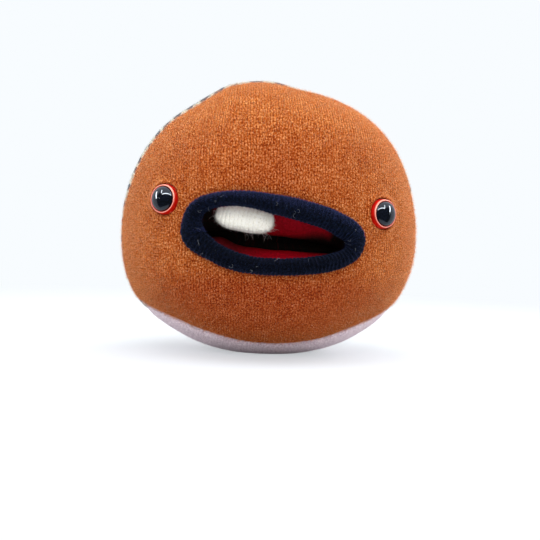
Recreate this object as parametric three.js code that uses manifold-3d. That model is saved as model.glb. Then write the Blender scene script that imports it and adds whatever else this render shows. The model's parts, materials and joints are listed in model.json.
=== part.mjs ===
// A round stuffed monster: a three-panel cover over its filling, a padded rib-knit lip round a lined
// mouth pocket, one stuffed tooth sewn in behind the upper lip, and two domed eyes in plastic cups.
// Millimetres, +Z up. It stands on z = 0, its face looks along -Y, and +X is on the viewer's right.
import * as THREE from 'three';
import { mergeVertices } from 'three/addons/utils/BufferGeometryUtils.js';
import Module from 'manifold-3d';

const wasm = await Module();
wasm.setup();

// Body
const bodyWidth = 150;
const bodyDepth = 120;
const crownHeight = 137; // floor to crown
const widestHeight = 58; // floor to the widest level
const baseFlattening = 1.5; // how far the round underside is pressed flat
const crownFullness = 2.1; // 2 is an ellipse, and more is squarer
const undersideFullness = 2.12;

// Cover of three panels
const coverThickness = 2.4;
const sideSeamForward = 12; // how far the face and back panels meet in front of the middle
const baseLength = 124; // between the pointed tips of the base panel
const baseFrontReach = 19.5; // from the side seams to the base panel's front edge
const baseBackReach = 46;
const basePointedness = 4; // how late its edges turn in towards the tips

// Mouth, measured over the lip
const mouthLeft = 1; // left of the body's middle
const mouthHeight = 60.4; // floor to the mouth's middle
const mouthWidth = 84.5;
const mouthTall = 37.3;
const mouthTilt = 4.6; // degrees, the right end lower
const mouthBluntness = 0.22; // how much taller the left end is
const mouthSquareness = 2.15;

// Lip: a knitted tube, open along its sewn back, round a filler
const lipWidth = 9;
const lipDepth = 9.4;
const lipProud = 0.7; // the middle of the tube above the face
const lipSwell = 0.2; // how much the upper lip thickens to the right
const lipThickness = 1.4;
const lipSeamOpening = 50; // degrees of the tube left open at its sewn back

// Lined pocket behind the lip
const pocketDepth = 40;
const pocketInset = 0.5; // the pocket's edge inside the middle of the lip
const throatStart = 9; // from the mouth's edge to where the pocket begins to narrow
const throatEnd = 26; // and to where it has narrowed
const throatTall = 8.6;
const throatDrop = 2.4; // the throat below the mouth's middle
const pocketNarrowing = 0.16; // share of the width lost at the back
const liningThickness = 1.4;

// Tooth, sewn in along its top edge
const toothLength = 29;
const toothTall = 13.4;
const toothThickness = 9.6;
const toothOffset = 13.5; // left of the mouth's middle
const toothSeamHeight = 13.5; // its sewn edge above the mouth's middle
const toothSeamDepth = 8.5; // the sewn edge behind the face
const toothTilt = 7.2; // degrees, the right end lower
const toothSquareness = 2.7;
const toothTaper = 0.45; // how much thinner it is near its sewn edge
const toothFabric = 1.2;
const toothSeamLength = 16; // the part of the sewn edge where its cover stays open
const toothSeamGap = 1.6;

// Eyes, each a dome on a ridged shank, a cup outside the cover and a washer inside it
const eyeInset = 23.8; // from the body's side to the middle of an eye
const eyesLeft = 0.8; // the pair, left of the body's middle
const leftEyeHeight = 74.9;
const rightEyeHeight = 71.7;
const eyeDownturn = 4; // degrees below square to the face
const eyeInturn = 5; // degrees further to the front than square to the face
const domeDiameter = 12;
const domeRise = 3.2;
const cupRimDiameter = 13.8;
const cupBaseDiameter = 14.8;
const cupHeight = 2.3;
const cupFloor = 1;
const cupPressIn = 0.6;
const washerGap = 0.45; // between a washer and the inside of the cover
const rimRounding = 0.5;
const shankDiameter = 4;
const shankLength = 14;
const ridgeHeight = 0.25;
const ridgePitch = 1.8;
const ridgeCount = 3;
const washerDiameter = 14;
const washerThickness = 1.2;
const washerBoss = 1; // how far its collar stands up round the shank
const washerBossDiameter = 8;

// Fits
const touching = 0.3; // between pieces that lie against each other

// Fineness of the curved surfaces
const bodySegments = 40;
const bodyRings = 20;
const lipSteps = 48;
const lipSectionPoints = 10;
const pocketPoints = 28;
const pocketSteps = 8;
const toothRings = 13;
const toothPoints = 12;
const turnedSegments = 24;
const domeSteps = 6;
const baseEdgeSteps = 16;
const sliver = 0.03; // edges shorter than this go
const weld = 1e-4; // points nearer than this are one

const materials = {
  wool: new THREE.MeshStandardMaterial({ color: '#ad5a28', roughness: 0.95, metalness: 0 }),
  backKnit: new THREE.MeshStandardMaterial({ color: '#5d6068', roughness: 0.95, metalness: 0 }),
  baseKnit: new THREE.MeshStandardMaterial({ color: '#a3878f', roughness: 0.95, metalness: 0 }),
  lipKnit: new THREE.MeshStandardMaterial({ color: '#111a2c', roughness: 0.95, metalness: 0 }),
  lining: new THREE.MeshStandardMaterial({ color: '#6a0714', roughness: 0.9, metalness: 0 }),
  toothKnit: new THREE.MeshStandardMaterial({ color: '#e4e0d6', roughness: 0.95, metalness: 0 }),
  fill: new THREE.MeshStandardMaterial({ color: '#eceae4', roughness: 1, metalness: 0 }),
  eyeBlack: new THREE.MeshStandardMaterial({ color: '#07090d', roughness: 0.06, metalness: 0 }),
  eyeRed: new THREE.MeshStandardMaterial({ color: '#b3150d', roughness: 0.3, metalness: 0 }),
  washer: new THREE.MeshStandardMaterial({ color: '#e8e6df', roughness: 0.5, metalness: 0 }),
};

const radians = THREE.MathUtils.degToRad;
const signedPower = (value, power) => Math.sign(value) * Math.abs(value) ** power;

// A closed mesh becomes a solid, with its faces turned outward.
function solid(geometry) {
  const bare = geometry.clone();
  bare.deleteAttribute('normal');
  bare.deleteAttribute('uv');
  const merged = mergeVertices(bare, weld);
  const triangles = Array.from(merged.index.array);
  const faces = [];
  for (let i = 0; i < triangles.length; i += 3) {
    const [a, b, c] = triangles.slice(i, i + 3);
    if (a !== b && b !== c && c !== a) faces.push(a, b, c);
  }
  const vertProperties = new Float32Array(merged.attributes.position.array);
  const build = (triVerts) =>
    new wasm.Manifold(new wasm.Mesh({ numProp: 3, vertProperties, triVerts: new Uint32Array(triVerts) }));
  const made = build(faces);
  return made.volume() > 0 ? made : build(faces.reverse());
}

// A solid becomes a named mesh, without the slivers that its cuts have left.
function piece(name, body, material) {
  const { vertProperties, triVerts } = body.asOriginal().simplify(sliver).getMesh();
  const geometry = new THREE.BufferGeometry();
  geometry.setAttribute('position', new THREE.BufferAttribute(new Float32Array(vertProperties), 3));
  geometry.setIndex(new THREE.BufferAttribute(new Uint32Array(triVerts), 1));
  geometry.computeVertexNormals();
  const mesh = new THREE.Mesh(geometry, material);
  mesh.name = name;
  return mesh;
}

// Rings of equal point counts are joined in order, and the first and last ring are joined or capped.
function skin(rings, endless = false) {
  const count = rings[0].length;
  const points = rings.flat();
  const faces = [];
  const spans = endless ? rings.length : rings.length - 1;
  for (let r = 0; r < spans; r++) {
    const near = r * count;
    const far = ((r + 1) % rings.length) * count;
    for (let i = 0; i < count; i++) {
      const j = (i + 1) % count;
      faces.push(near + i, far + i, far + j, near + i, far + j, near + j);
    }
  }
  if (!endless) {
    for (const r of [0, rings.length - 1]) {
      const middle = new THREE.Vector3();
      rings[r].forEach((point) => middle.addScaledVector(point, 1 / count));
      const hub = points.push(middle) - 1;
      for (let i = 0; i < count; i++) {
        const edge = [r * count + i, r * count + ((i + 1) % count)];
        faces.push(hub, ...(r === 0 ? edge : edge.reverse()));
      }
    }
  }
  const geometry = new THREE.BufferGeometry().setFromPoints(points);
  geometry.setIndex(faces);
  return geometry;
}

function box(x0, x1, y0, y1, z0, z1) {
  const geometry = new THREE.BoxGeometry(x1 - x0, y1 - y0, z1 - z0);
  geometry.translate((x0 + x1) / 2, (y0 + y1) / 2, (z0 + z1) / 2);
  return geometry;
}

// A profile of radius and height pairs is turned about +Z.
function turned(profile) {
  const points = profile.map(([radius, height]) => new THREE.Vector2(radius, height));
  return new THREE.LatheGeometry(points, turnedSegments).rotateX(Math.PI / 2);
}

function rod(radius, bottom, top) {
  return turned([[0, bottom], [radius, bottom], [radius, top], [0, top]]);
}

// Body form: an ellipse at every level, under a full crown and over a full underside
const farOut = bodyWidth + bodyDepth + crownHeight;

function bodyHalves(z, inset) {
  const upper = z >= widestHeight;
  const tall = upper ? crownHeight - widestHeight : widestHeight + baseFlattening;
  return { tall: tall - inset, fullness: upper ? crownFullness : undersideFullness };
}

function bodySolid(inset) {
  const geometry = new THREE.SphereGeometry(1, bodySegments, bodyRings).rotateX(Math.PI / 2);
  const place = geometry.attributes.position;
  for (let i = 0; i < place.count; i++) {
    const [x, y, z] = [place.getX(i), place.getY(i), place.getZ(i)];
    const { tall, fullness } = bodyHalves(widestHeight + z, inset);
    const reach = Math.hypot(x, y);
    const swell = reach > weld ? reach ** (2 / fullness) / reach : 0;
    place.setXYZ(
      i,
      x * swell * (bodyWidth / 2 - inset),
      y * swell * (bodyDepth / 2 - inset),
      widestHeight + signedPower(z, 2 / fullness) * tall,
    );
  }
  return solid(geometry).subtract(solid(box(-farOut, farOut, -farOut, farOut, -farOut, inset)));
}

// The depth of the face at a place seen from the front
function faceDepth(x, z, lift = 0) {
  const { tall, fullness } = bodyHalves(z, -lift);
  const level = Math.abs(z - widestHeight) / tall;
  const reach = (1 - level ** fullness) ** (1 / fullness);
  return -(bodyDepth / 2 + lift) * Math.sqrt(reach ** 2 - (x / (bodyWidth / 2 + lift)) ** 2);
}

function faceNormal(x, z) {
  const { tall, fullness } = bodyHalves(z, 0);
  const y = faceDepth(x, z);
  const round = Math.hypot((2 * x) / bodyWidth, (2 * y) / bodyDepth) ** (fullness - 2);
  const rise = signedPower((z - widestHeight) / tall, fullness - 1) / tall;
  const across = (round * x) / (bodyWidth / 2) ** 2;
  const out = (round * y) / (bodyDepth / 2) ** 2;
  return new THREE.Vector3(across, out, rise).normalize();
}

// How far the rounded cover falls away under the rim of a flat disc that leans with the eye
const eyeLean = Math.hypot(eyeDownturn, eyeInturn);
const sagUnder = (radius) => radius ** 2 / bodyDepth + radius * Math.sin(radians(eyeLean));

// Base panel: pointed at both side seams, seen from below
function baseColumn(grow) {
  const tip = baseLength / 2 + grow;
  const edge = (reach, from, to) => {
    const points = [];
    for (let i = 0; i < baseEdgeSteps; i++) {
      const share = THREE.MathUtils.lerp(from, to, i / baseEdgeSteps);
      const turn = Math.sin((share * Math.PI) / 2);
      const depth = reach * (1 - Math.abs(turn) ** basePointedness);
      points.push(new THREE.Vector2(tip * turn, depth - sideSeamForward));
    }
    return points;
  };
  const outline = [...edge(-(baseFrontReach + grow), -1, 1), ...edge(baseBackReach + grow, 1, -1)];
  const column = new THREE.ExtrudeGeometry(new THREE.Shape(outline), {
    depth: widestHeight + baseFlattening,
    bevelEnabled: false,
  });
  return solid(column.translate(0, 0, -baseFlattening));
}

// Mouth outline, from its middle: along is to the right, and up is across
function mouthOutline(halfWidth, halfTall, angle, drop = 0) {
  const along = halfWidth * signedPower(Math.cos(angle), 2 / mouthSquareness);
  const blunt = 1 - (mouthBluntness * along) / halfWidth;
  const up = halfTall * signedPower(Math.sin(angle), 2 / mouthSquareness) * blunt - drop;
  return { along, up };
}

function mouthPlace({ along, up }) {
  const tilt = radians(mouthTilt);
  const x = -mouthLeft + along * Math.cos(tilt) + up * Math.sin(tilt);
  const z = mouthHeight - along * Math.sin(tilt) + up * Math.cos(tilt);
  return { x, z };
}

const lipHalfWidth = (mouthWidth - lipWidth) / 2;
const lipHalfTall = (mouthTall - lipWidth) / 2;

function lipMiddle(angle) {
  const { x, z } = mouthPlace(mouthOutline(lipHalfWidth, lipHalfTall, angle));
  return new THREE.Vector3(x, faceDepth(x, z, lipProud), z);
}

// The lip's section, drawn by a function of the tube's half sizes, is swept round the mouth.
function lipSweep(section) {
  const rings = [];
  for (let i = 0; i < lipSteps; i++) {
    const angle = (i / lipSteps) * 2 * Math.PI;
    const step = Math.PI / lipSteps / 4;
    const middle = lipMiddle(angle);
    const forward = lipMiddle(angle + step).sub(lipMiddle(angle - step)).normalize();
    const out = faceNormal(middle.x, middle.z);
    const aside = new THREE.Vector3().crossVectors(forward, out).normalize();
    const { along, up } = mouthOutline(lipHalfWidth, lipHalfTall, angle);
    const swell = up > 0 ? 1 + (lipSwell * along * up) / (lipHalfWidth * lipHalfTall) : 1;
    rings.push(
      section((lipWidth / 2) * swell, lipDepth / 2).map(([across, rise]) =>
        middle.clone().addScaledVector(aside, across).addScaledVector(out, rise),
      ),
    );
  }
  return solid(skin(rings, true));
}

// The whole roll, grown to clear its neighbours or shrunk to fit in the tube
function lipRoll(grow) {
  const around = grow > 0 ? 1 / Math.cos(Math.PI / lipSectionPoints) : 1;
  return lipSweep((halfWidth, halfDepth) => {
    const points = [];
    for (let i = 0; i < lipSectionPoints; i++) {
      const angle = (i / lipSectionPoints) * 2 * Math.PI;
      const across = (halfWidth + grow) * around * Math.cos(angle);
      points.push([across, (halfDepth + grow) * around * Math.sin(angle)]);
    }
    return points;
  });
}

function lipTube() {
  return lipSweep((halfWidth, halfDepth) => {
    const arc = (inset) => {
      const points = [];
      const from = -90 + lipSeamOpening / 2;
      const to = from + 360 - lipSeamOpening;
      for (let i = 0; i < lipSectionPoints; i++) {
        const angle = radians(THREE.MathUtils.lerp(from, to, i / (lipSectionPoints - 1)));
        points.push([(halfWidth - inset) * Math.cos(angle), (halfDepth - inset) * Math.sin(angle)]);
      }
      return points;
    };
    return [...arc(0), ...arc(lipThickness).reverse()];
  });
}

// Pocket: the mouth's outline runs straight in, narrows to the throat and ends flat.
const pocketHalfWidth = lipHalfWidth - pocketInset;
const pocketHalfTall = lipHalfTall - pocketInset;
const pocketEdge = faceDepth(-mouthLeft, mouthHeight) + lipDepth / 2;
const pocketMouth = -(lipDepth + lipProud); // where it begins, clear in front of the lip

function pocketRing(depth, grow) {
  const inward = THREE.MathUtils.smoothstep(depth, throatStart, throatEnd);
  const halfTall = THREE.MathUtils.lerp(pocketHalfTall, throatTall / 2, inward) + grow;
  const narrowed = 1 - pocketNarrowing * Math.max(0, depth / pocketDepth) ** 2;
  const halfWidth = pocketHalfWidth * narrowed + grow;
  const ring = [];
  for (let i = 0; i < pocketPoints; i++) {
    const angle = (i / pocketPoints) * 2 * Math.PI;
    const { x, z } = mouthPlace(mouthOutline(halfWidth, halfTall, angle, throatDrop * inward));
    ring.push(new THREE.Vector3(x, pocketEdge + depth, z));
  }
  return ring;
}

function pocketSpace(grow) {
  const rings = [pocketRing(pocketMouth, grow)];
  for (let i = 0; i <= pocketSteps; i++) {
    const depth = (i / pocketSteps) * (pocketDepth + grow);
    rings.push(pocketRing(depth, grow));
  }
  return solid(skin(rings));
}

// The half of the pocket above or below the lining's side seams
function pocketHalf(upper) {
  const low = upper ? touching / 2 : -farOut;
  const high = upper ? farOut : -touching / 2;
  const slab = box(-farOut, farOut, -farOut, farOut, low, high);
  slab.translate(0, 0, -throatDrop).rotateY(radians(mouthTilt)).translate(-mouthLeft, 0, mouthHeight);
  return solid(slab);
}

// Tooth, from its sewn top edge: X along it, Y into the mouth, Z up. Its section is a drop.
const fattest = (1 - Math.sqrt(1 + 8 * toothTaper ** 2)) / (4 * toothTaper);
const dropWidth = Math.sqrt(1 - fattest ** 2) * (1 - toothTaper * fattest);

function toothForm(inset) {
  const rings = [];
  const halfTall = toothTall / 2 - inset;
  for (let i = 1; i < toothRings; i++) {
    const angle = Math.PI * (i / toothRings - 0.5);
    const slim = Math.cos(angle) ** (2 / toothSquareness);
    const along = (toothLength / 2 - inset) * signedPower(Math.sin(angle), 2 / toothSquareness);
    const ring = [];
    for (let j = 0; j < toothPoints; j++) {
      const turn = (j / toothPoints) * 2 * Math.PI;
      const drop = (Math.cos(turn) * (1 - toothTaper * Math.sin(turn))) / dropWidth;
      const across = (toothThickness / 2 - inset) * slim * drop;
      ring.push(new THREE.Vector3(along, across, halfTall * slim * Math.sin(turn) - toothTall / 2));
    }
    rings.push(ring);
  }
  return solid(skin(rings));
}

function toothGroup() {
  const group = new THREE.Group();
  const x = -mouthLeft - toothOffset;
  const z = mouthHeight + toothSeamHeight;
  const normal = faceNormal(x, z);
  const level = new THREE.Vector3(-normal.y, normal.x, 0).normalize();
  const upright = new THREE.Vector3(0, 0, 1);
  const tilt = radians(toothTilt);
  const along = level.clone().multiplyScalar(Math.cos(tilt)).addScaledVector(upright, -Math.sin(tilt));
  const inward = new THREE.Vector3().crossVectors(upright, level);
  const up = new THREE.Vector3().crossVectors(along, inward);
  group.quaternion.setFromRotationMatrix(new THREE.Matrix4().makeBasis(along, inward, up));
  group.position.set(x, faceDepth(x, z) + toothSeamDepth, z);

  const halfLength = toothSeamLength / 2;
  const halfGap = toothSeamGap / 2;
  const opening = box(-halfLength, halfLength, -halfGap, halfGap, -toothTall / 2, toothFabric);
  const cover = toothForm(0).subtract(toothForm(toothFabric)).subtract(solid(opening));
  group.add(piece('tooth_cover', cover, materials.toothKnit));
  group.add(piece('tooth_fill', toothForm(toothFabric + touching), materials.fill));
  return group;
}

// Eye, from the face under its middle: Z square out of the face
const shankRadius = shankDiameter / 2;
const shankHole = shankRadius + ridgeHeight + touching;
const cupBaseRadius = cupBaseDiameter / 2;
const cupBottom = -(cupBaseRadius ** 2 / bodyDepth + cupPressIn);
const domeBottom = cupBottom + cupFloor + touching;
const facetSag = (bodyWidth / 2) * (1 - Math.cos(Math.PI / bodySegments));
const washerTop = -(coverThickness + sagUnder(washerDiameter / 2) + facetSag + washerGap);
const shankBottom = domeBottom - shankLength;

function eyeDome() {
  const radius = domeDiameter / 2;
  const profile = [[0, shankBottom], [shankRadius, shankBottom]];
  for (let i = 0; i < ridgeCount; i++) {
    const low = shankBottom + (i + 0.5) * ridgePitch;
    profile.push([shankRadius, low]);
    profile.push([shankRadius + ridgeHeight, low + ridgePitch / 4]);
    profile.push([shankRadius, low + ridgePitch / 2]);
  }
  profile.push([shankRadius, domeBottom], [radius, domeBottom]);
  for (let i = 0; i < domeSteps; i++) {
    const angle = (i / domeSteps) * (Math.PI / 2);
    profile.push([radius * Math.cos(angle), cupHeight + domeRise * Math.sin(angle)]);
  }
  profile.push([0, cupHeight + domeRise]);
  return solid(turned(profile));
}

function eyeCup() {
  const rim = cupRimDiameter / 2;
  const bore = domeDiameter / 2 + touching;
  const crest = cupHeight + rimRounding;
  return solid(turned([
    [shankHole, cupBottom],
    [cupBaseRadius, cupBottom],
    [cupBaseRadius, cupBottom + cupFloor / 2],
    [rim, cupHeight],
    [(rim + bore) / 2, crest],
    [bore, cupHeight],
    [bore, cupBottom + cupFloor],
    [shankHole, cupBottom + cupFloor],
    [shankHole, cupBottom],
  ]));
}

function eyeWasher() {
  const radius = washerDiameter / 2;
  const collar = washerBossDiameter / 2;
  const flange = washerTop - washerThickness;
  return solid(turned([
    [shankHole, flange - washerBoss],
    [collar, flange - washerBoss],
    [collar, flange],
    [radius, flange],
    [radius, washerTop],
    [shankHole, washerTop],
    [shankHole, flange - washerBoss],
  ]));
}

function eyeGroup(side, x, z) {
  const group = new THREE.Group();
  const out = faceNormal(x, z);
  out.applyAxisAngle(new THREE.Vector3(0, 0, 1), -Math.sign(x) * radians(eyeInturn));
  const sideways = new THREE.Vector3(-out.y, out.x, 0).normalize();
  out.applyAxisAngle(sideways, radians(eyeDownturn));
  group.quaternion.setFromUnitVectors(new THREE.Vector3(0, 0, 1), out);
  group.position.set(x, faceDepth(x, z), z);
  group.add(piece(`eye_dome_${side}`, eyeDome(), materials.eyeBlack));
  group.add(piece(`eye_cup_${side}`, eyeCup(), materials.eyeRed));
  group.add(piece(`eye_washer_${side}`, eyeWasher(), materials.washer));
  group.updateMatrix();
  return group;
}

// What an eye takes out of the cover and out of the filling
function eyeSeat(group) {
  const seat = rod(cupBaseRadius + touching, cupBottom - touching, cupHeight + cupBaseRadius);
  const hole = rod(shankHole, shankBottom, cupHeight);
  return solid(seat.applyMatrix4(group.matrix)).add(solid(hole.applyMatrix4(group.matrix)));
}

function eyeHollow(group) {
  const hollow = rod(washerDiameter / 2 + touching, shankBottom - touching, cupHeight + cupBaseRadius);
  return solid(hollow.applyMatrix4(group.matrix));
}

const eyeSpread = bodyWidth / 2 - eyeInset;
const leftEye = eyeGroup('left', -eyeSpread - eyesLeft, leftEyeHeight);
const rightEye = eyeGroup('right', eyeSpread - eyesLeft, rightEyeHeight);
const tooth = toothGroup();

const liningOuter = pocketSpace(liningThickness);
const mouthHole = pocketSpace(liningThickness + touching).add(lipRoll(touching));

// Cover, parted at the side seams and round the base panel
const wholeBody = bodySolid(0);
const cover = wholeBody.subtract(bodySolid(coverThickness));
const seam = -sideSeamForward;
const frontHalf = solid(box(-farOut, farOut, -farOut, seam - touching / 2, -farOut, farOut));
const backHalf = solid(box(-farOut, farOut, seam + touching / 2, farOut, -farOut, farOut));
const upperCover = cover.subtract(baseColumn(touching));
const facePanel = upperCover
  .intersect(frontHalf)
  .subtract(mouthHole)
  .subtract(eyeSeat(leftEye))
  .subtract(eyeSeat(rightEye));
const backPanel = upperCover.intersect(backHalf);
const basePanel = cover.intersect(baseColumn(0));

const filling = bodySolid(coverThickness + touching)
  .subtract(mouthHole)
  .subtract(eyeHollow(leftEye))
  .subtract(eyeHollow(rightEye));

const lining = liningOuter.subtract(pocketSpace(0)).intersect(wholeBody).subtract(lipRoll(touching));

const monster = new THREE.Group();
monster.add(piece('face_panel', facePanel, materials.wool));
monster.add(piece('back_panel', backPanel, materials.backKnit));
monster.add(piece('base_panel', basePanel, materials.baseKnit));
monster.add(piece('fibre_fill', filling, materials.fill));
monster.add(piece('mouth_lip', lipTube(), materials.lipKnit));
monster.add(piece('lip_filler', lipRoll(-(lipThickness + touching)), materials.fill));
monster.add(piece('mouth_lining_upper', lining.intersect(pocketHalf(true)), materials.lining));
monster.add(piece('mouth_lining_lower', lining.intersect(pocketHalf(false)), materials.lining));
monster.add(tooth, leftEye, rightEye);

export default monster;
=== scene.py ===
"""A stuffed monster of felted sweater wool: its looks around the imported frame, +Z up.

Lengths are in millimetres, and become metres where a mesh or the camera is made. Lamps are in metres.
"""

import json
import math

import bpy
import numpy as np
from mathutils import Matrix, Quaternion, Vector
from mathutils.kdtree import KDTree


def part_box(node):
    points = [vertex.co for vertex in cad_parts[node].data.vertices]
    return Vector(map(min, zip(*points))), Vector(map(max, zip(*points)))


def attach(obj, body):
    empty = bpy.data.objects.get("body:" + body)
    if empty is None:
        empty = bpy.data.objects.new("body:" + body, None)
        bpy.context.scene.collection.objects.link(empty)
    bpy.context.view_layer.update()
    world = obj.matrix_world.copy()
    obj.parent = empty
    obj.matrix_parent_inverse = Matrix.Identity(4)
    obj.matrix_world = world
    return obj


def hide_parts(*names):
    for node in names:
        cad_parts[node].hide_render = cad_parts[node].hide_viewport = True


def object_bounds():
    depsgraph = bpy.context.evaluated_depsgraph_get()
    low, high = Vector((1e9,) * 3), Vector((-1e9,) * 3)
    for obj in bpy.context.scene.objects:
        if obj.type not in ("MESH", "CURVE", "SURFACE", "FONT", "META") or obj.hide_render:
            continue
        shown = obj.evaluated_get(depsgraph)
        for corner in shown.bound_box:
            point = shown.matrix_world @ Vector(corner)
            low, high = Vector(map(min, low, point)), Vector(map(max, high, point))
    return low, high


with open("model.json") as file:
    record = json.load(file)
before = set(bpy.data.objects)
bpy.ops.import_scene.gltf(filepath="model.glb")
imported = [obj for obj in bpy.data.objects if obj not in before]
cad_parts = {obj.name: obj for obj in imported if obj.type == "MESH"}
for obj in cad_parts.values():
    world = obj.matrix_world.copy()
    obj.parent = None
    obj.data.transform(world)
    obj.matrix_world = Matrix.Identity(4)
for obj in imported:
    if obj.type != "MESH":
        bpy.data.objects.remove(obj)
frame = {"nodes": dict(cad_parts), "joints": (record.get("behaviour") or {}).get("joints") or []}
cad_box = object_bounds()

MM = 0.001
TURN = 2 * math.pi

# Body, read off the frame, and its form
BODY_HALF_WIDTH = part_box("back_panel")[1].x / MM
BODY_HALF_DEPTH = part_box("back_panel")[1].y / MM
CROWN = cad_box[1].z / MM
WIDEST = 58
FLATTENING = 1.5
CROWN_FULLNESS = 2.1
UNDERSIDE_FULLNESS = 2.12
MIDDLE = np.array([0, 0, WIDEST])

# Cover of three panels, and the seams that draw it in
COVER = 2.4
SIDE_SEAM = -12
SEAM_WANDER = 5.5
BASE_HALF_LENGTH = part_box("base_panel")[1].x / MM
BASE_FRONT_REACH = 19.5
BASE_BACK_REACH = 46
BASE_POINTEDNESS = 4
SEAM_DEPTH = 1.5
SEAM_WIDTH = 4.2
PUCKER = 0.16
PUCKER_PITCH = 3.4

# Mouth, lip and pocket
MOUTH_ASIDE = -1
MOUTH_HEIGHT = 60.4
LIP_WIDTH = 9
LIP_DEPTH = 9.4
LIP_PROUD = 0.7
LIP_HALF_WIDTH = (84.5 - LIP_WIDTH) / 2
LIP_HALF_TALL = (37.3 - LIP_WIDTH) / 2
MOUTH_TILT = math.radians(4.6)
MOUTH_BLUNTNESS = 0.22
MOUTH_SQUARENESS = 2.4
MOUTH_LEFT_LIFT = 2.8
MOUTH_TOP_SAG = 0.9
RIB_PITCH = 1.85
RIB_HEIGHT = 0.4
POCKET_DEPTH = 40
POCKET_INSET = 0.5
THROAT_START = 9
THROAT_END = 26
THROAT_TALL = 7.2
THROAT_DROP = 4
POCKET_NARROWING = 0.16
LINING = 1.4
RUCK = 2.4
RUCK_ASIDE = -25

# Uneven lip, in shares of its width: upper right, upper left, below, left end and lower left
LIP_SWELL = 0.3
LIP_THINNING = 0.5
LIP_THINNER = 0.14
LIP_BROADER = 0.1
LIP_FULLER = 0.13

# Tooth
TOOTH_LENGTH = 27.1
TOOTH_TALL = 13
TOOTH_THICKNESS = 9.6
TOOTH_ASIDE = 0.4
TOOTH_SQUARENESS = 2.7
TOOTH_TAPER = 0.45
TOOTH_RIB_PITCH = 1.9
TOOTH_RIB_HEIGHT = 0.45
TOOTH_STITCH = 1.5

# Eyes
DOME_RADIUS = 5.85
DOME_RISE = 3.2
CUP_RIM_RADIUS = 6.75
CUP_BASE_RADIUS = 7.4
CUP_HEIGHT = 2.3
CUP_FLOOR = 1
CUP_BOTTOM = -1.05
CUP_ROUNDING = 0.35
SHANK_RADIUS = 2
SHANK_LENGTH = 14
TOUCHING = 0.3

# Uneven stuffing, as seen from the front: x, z, how far out and how wide
LOBES = [(-40, 124, -1.7, 17), (-21, 133, 1.3, 13), (14, 136, -1.6, 11), (27, 132, -1.2, 13),
         (-3, 137, 0.6, 9), (60, 101, 1.5, 24), (-67, 28, 1.4, 17)]

# Loose fibres: how deep they are rooted, and how far they keep off the floor
ROOTED = 0.1
OFF_FLOOR = 0.02

# Camera, fitted to the photograph, with its angles in degrees
CAMERA_TARGET = Vector((1.36, 0, 41.5))
CAMERA_DISTANCE = 520
CAMERA_AZIMUTH = -4.3
CAMERA_ELEVATION = 2.5
CAMERA_ROLL = math.radians(2)
CAMERA_LENS = 67.3


def srgb(red, green, blue):
    """A colour of 0 to 255 steps becomes linear, with alpha."""
    steps = [c / 255 for c in (red, green, blue)]
    return [c / 12.92 if c <= 0.04045 else ((c + 0.055) / 1.055) ** 2.4 for c in steps] + [1.0]


# Numbers over arrays of points
def joined(*parts):
    """Numbers side by side: the coordinates of points, or the corners of faces."""
    return np.stack(np.broadcast_arrays(*parts), -1)


def full_turn(count):
    """Angles spread evenly round a turn."""
    return np.linspace(0, TURN, count, endpoint=False)


def unit(vectors):
    return vectors / np.linalg.norm(vectors, axis=-1, keepdims=True)


def smooth(low, high, value):
    share = np.clip((value - low) / (high - low), 0, 1)
    return share * share * (3 - 2 * share)


def bell(value, middle, width):
    return np.exp(-((value - middle) / width) ** 2)


def signed_power(value, power):
    return np.sign(value) * np.abs(value) ** power


def run_along(line):
    """How far along a line each of its points is."""
    return np.concatenate([[0], np.cumsum(np.linalg.norm(np.diff(line, axis=0), axis=1))])


def reach_within(far, shape, inside):
    """How far inside(reach) holds, up to far, found by halving."""
    near, far = np.zeros(shape), np.full(shape, far)
    for _ in range(40):
        half = (near + far) / 2
        held = inside(half)
        near, far = np.where(held, half, near), np.where(held, far, half)
    return near


def lumps(points, size, seed):
    """Smooth noise from -1 to 1, with lumps of about the given size."""
    place = points / size
    cell = np.floor(place).astype(np.int64)
    part = place - cell
    part = part * part * (3 - 2 * part)
    total = np.zeros(points.shape[:-1])
    for corner in range(8):
        step = np.array([corner & 1, corner >> 1 & 1, corner >> 2 & 1])
        x, y, z = np.moveaxis(cell + step, -1, 0)
        mixed = (x * 73856093) ^ (y * 19349663) ^ (z * 83492791) ^ (seed * 2654435761)
        mixed = (mixed ^ (mixed >> 13)) * 1274126177
        value = ((mixed ^ (mixed >> 16)) & 0xFFFF) / 0x7FFF - 1
        total += value * np.prod(np.where(step == 1, part, 1 - part), axis=-1)
    return total


# Meshes from arrays
def link(name, data):
    made = bpy.data.objects.new(name, data)
    bpy.context.scene.collection.objects.link(made)
    return made


def make_piece(name, points, faces, knit=None, tint=None):
    """A smooth-shaded object. faces is a list of arrays, each of faces with as many corners."""
    mesh = bpy.data.meshes.new(name)
    points = np.asarray(points, float).reshape(-1, 3)
    mesh.vertices.add(len(points))
    mesh.vertices.foreach_set("co", points.ravel() * MM)
    corners = np.concatenate([f.ravel() for f in faces])
    sizes = np.concatenate([np.full(len(f), f.shape[1]) for f in faces])
    mesh.loops.add(len(corners))
    mesh.loops.foreach_set("vertex_index", corners.astype(np.int32))
    mesh.polygons.add(len(sizes))
    mesh.polygons.foreach_set("loop_start", np.concatenate([[0], np.cumsum(sizes)[:-1]]).astype(np.int32))
    mesh.polygons.foreach_set("use_smooth", np.ones(len(sizes), bool))
    layers = (("knit", "FLOAT_VECTOR", "vector", knit), ("tint", "FLOAT", "value", tint))
    for layer_name, kind, field, values in layers:
        if values is not None:
            layer = mesh.attributes.new(layer_name, kind, "POINT")
            layer.data.foreach_set(field, np.asarray(values, np.float32).ravel())
    mesh.update(calc_edges=True)
    mesh.validate()
    return link(name, mesh)


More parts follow.
